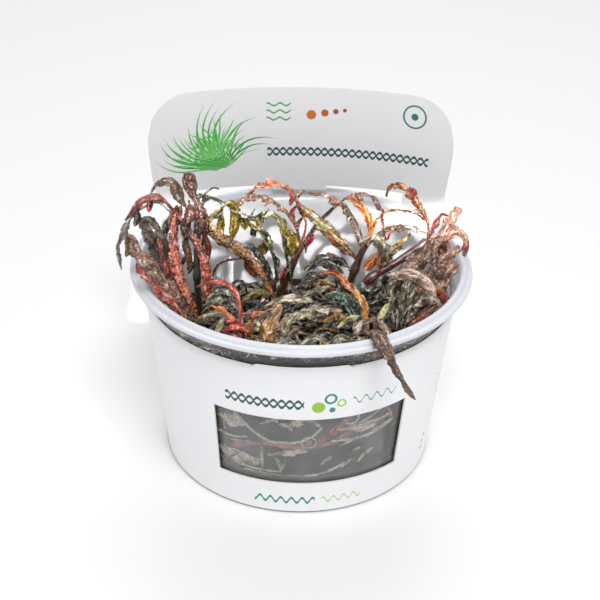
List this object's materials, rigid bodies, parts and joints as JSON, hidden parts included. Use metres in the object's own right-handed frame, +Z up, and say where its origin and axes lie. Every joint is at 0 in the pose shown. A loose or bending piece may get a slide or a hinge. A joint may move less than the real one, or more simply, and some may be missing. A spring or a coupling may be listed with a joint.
{
  "type": "potted aquarium plant",
  "caption": "Aquarium stem plant with narrow lobed leaves grown in a clear tapered culture cup inside a white card sleeve with a raised header and a front window.",
  "frame": {"origin": "centre of the cup's flat base", "axes": "+Z up out of the cup's mouth, -Y towards the side with the window, +Y towards the header"},
  "size_m": [0.1041, 0.1024, 0.0963],
  "materials": {
    "cup_plastic": "clear moulded polypropylene with a slight milky haze",
    "sleeve_card": "smooth white printed card",
    "growth_medium": "wet translucent gel",
    "leaf_brown": "brown leaf with a soft sheen",
    "leaf_red": "dark red leaf with a soft sheen",
    "leaf_orange": "orange leaf with a soft sheen",
    "leaf_green": "dark green glossy leaf",
    "leaf_grey": "grey-brown ribbed leaf",
    "stem_red": "crimson stem with a soft sheen",
    "stem_dark": "dark brown stem"
  },
  "bodies": {
    "root": {"cup": "cup_plastic", "sleeve": "sleeve_card", "growth_medium": "growth_medium", "leaf_bed": "leaf_green", "left_stem": "stem_dark", "middle_stem": "stem_dark", "right_stem": "stem_dark", "red_stem": "stem_red", "creeping_stem": "stem_red", "left_leaf_1": "leaf_brown", "left_leaf_2": "leaf_red", "left_leaf_3": "leaf_green", "left_leaf_4": "leaf_grey", "left_leaf_5": "leaf_grey", "left_leaf_6": "leaf_red", "left_leaf_7": "leaf_red", "left_leaf_8": "leaf_red", "left_leaf_9": "leaf_brown", "left_leaf_10": "leaf_orange", "left_leaf_11": "leaf_green", "left_leaf_12": "leaf_green", "middle_leaf_1": "leaf_brown", "middle_leaf_2": "leaf_orange", "middle_leaf_3": "leaf_green", "middle_leaf_4": "leaf_green", "middle_leaf_5": "leaf_brown", "middle_leaf_6": "leaf_brown", "middle_leaf_7": "leaf_brown", "middle_leaf_8": "leaf_brown", "right_leaf_1": "leaf_orange", "right_leaf_2": "leaf_orange", "right_leaf_3": "leaf_green", "right_leaf_4": "leaf_grey", "right_leaf_5": "leaf_green", "right_leaf_6": "leaf_orange", "right_leaf_7": "leaf_red", "right_leaf_8": "leaf_grey", "right_leaf_9": "leaf_red", "right_leaf_10": "leaf_brown", "right_leaf_11": "leaf_grey", "right_leaf_12": "leaf_grey", "right_leaf_13": "leaf_green", "right_leaf_14": "leaf_green", "front_leaf_1": "leaf_grey", "front_leaf_2": "leaf_green", "front_leaf_3": "leaf_orange", "front_leaf_4": "leaf_green", "front_leaf_5": "leaf_green", "front_leaf_6": "leaf_brown", "front_leaf_7": "leaf_orange", "front_leaf_8": "leaf_orange", "front_leaf_9": "leaf_red", "front_leaf_10": "leaf_grey"}
  },
  "joints": []
}
